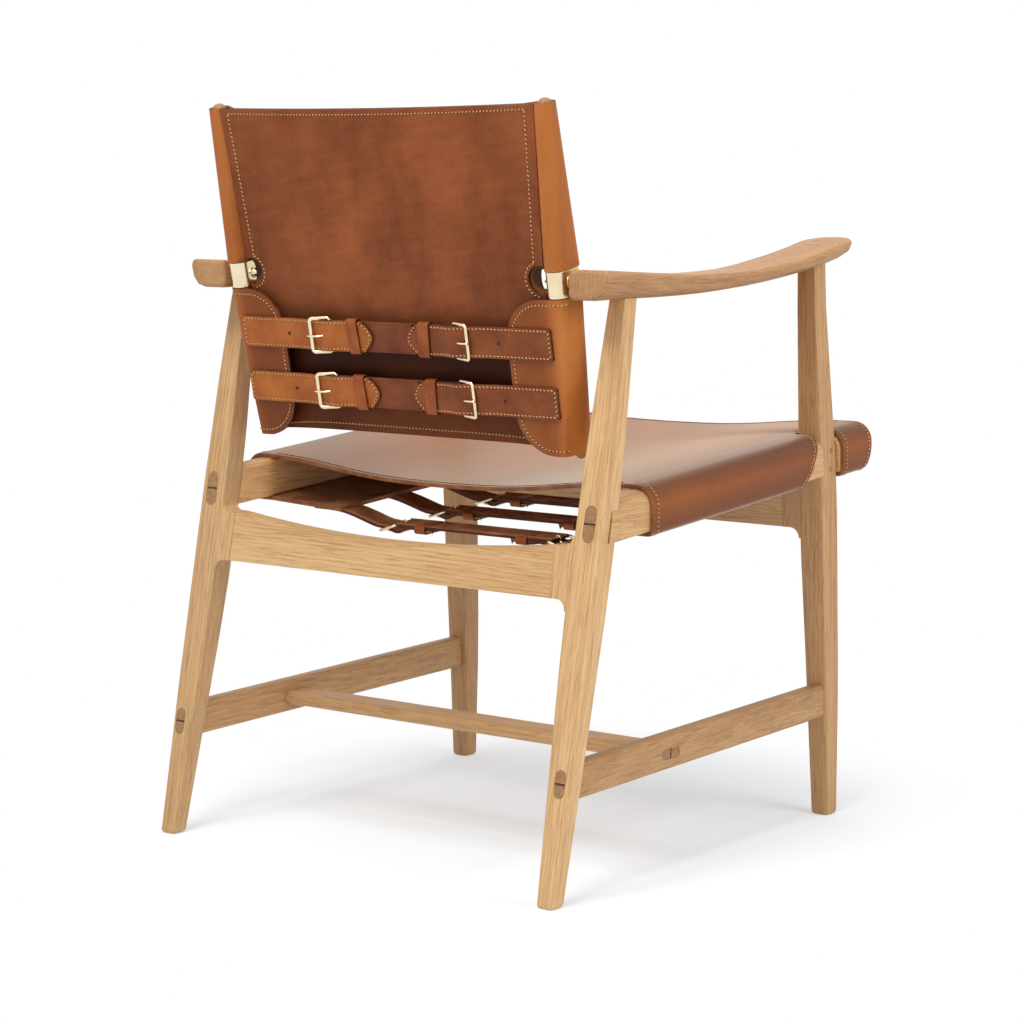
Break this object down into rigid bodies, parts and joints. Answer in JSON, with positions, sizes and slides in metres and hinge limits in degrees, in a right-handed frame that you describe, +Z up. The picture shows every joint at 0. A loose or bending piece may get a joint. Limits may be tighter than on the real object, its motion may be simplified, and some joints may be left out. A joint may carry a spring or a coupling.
{
  "type": "leather sling lounge chair",
  "caption": "Low oak armchair with a seat and a pivoting back of saddle leather pulled tight by buckled straps.",
  "frame": {"origin": "middle of the floor rectangle under the chair, on the floor", "axes": "+Z up, -Y the way the sitter faces, +X to the sitter's left"},
  "size_m": [0.6206, 0.6238, 0.8451],
  "materials": {
    "oak": "solid oak, sanded smooth and soaped, satin",
    "dark_wedge": "dark hardwood, cut flush and sanded",
    "saddle_leather": "full grain saddle leather, tan, waxed, satin",
    "strap_leather": "tan saddle leather strap, stitched edge, satin",
    "connector_leather": "dark brown saddle leather strap, creased edge, satin",
    "brass": "turned and polished brass"
  },
  "bodies": {
    "frame": {"rear_leg_left": "oak", "rear_leg_right": "oak", "front_leg_left": "oak", "front_leg_right": "oak", "side_rail_left": "oak", "side_rail_right": "oak", "side_stretcher_left": "oak", "side_stretcher_right": "oak", "armrest_left": "oak", "armrest_right": "oak", "rear_rail": "oak", "front_rail": "oak", "cross_stretcher": "oak", "seat_tenon_wedge_left": "dark_wedge", "seat_tenon_wedge_right": "dark_wedge", "stretcher_wedge_left": "dark_wedge", "stretcher_wedge_right": "dark_wedge", "cross_wedge_left": "dark_wedge", "cross_wedge_right": "dark_wedge", "arm_wedge_left": "dark_wedge", "arm_wedge_right": "dark_wedge", "lap_dowel_upper_left": "oak", "lap_dowel_upper_right": "oak", "lap_dowel_lower_left": "oak", "lap_dowel_lower_right": "oak", "pivot_nut_left": "brass", "pivot_nut_right": "brass", "pivot_bolt_left": "brass", "pivot_bolt_right": "brass", "seat_sling": "saddle_leather", "seat_connector_rear": "connector_leather", "seat_connector_middle": "connector_leather", "seat_connector_front": "connector_leather", "seat_buckle_rear_left": "brass", "seat_buckle_rear_right": "brass", "seat_buckle_middle_left": "brass", "seat_buckle_middle_right": "brass", "seat_buckle_front_left": "brass", "seat_buckle_front_right": "brass"},
    "back": {"back_post_left": "oak", "back_post_right": "oak", "pivot_collar_left": "brass", "pivot_collar_right": "brass", "pivot_spacer_left": "brass", "pivot_spacer_right": "brass", "back_sling": "saddle_leather", "back_connector_upper": "connector_leather", "back_connector_lower": "connector_leather", "back_billet_upper_left": "strap_leather", "back_billet_upper_right": "strap_leather", "back_billet_lower_left": "strap_leather", "back_billet_lower_right": "strap_leather", "back_buckle_upper_left": "brass", "back_buckle_upper_right": "brass", "back_buckle_lower_left": "brass", "back_buckle_lower_right": "brass", "back_prong_upper_left": "brass", "back_prong_upper_right": "brass", "back_prong_lower_left": "brass", "back_prong_lower_right": "brass"}
  },
  "joints": [
    {"name": "back_tilt", "type": "hinge", "parent": "frame", "child": "back", "pos_m": [0, 0.21591, 0.653], "axis": [1, 0, 0], "range_deg": [-20, 12]}
  ]
}
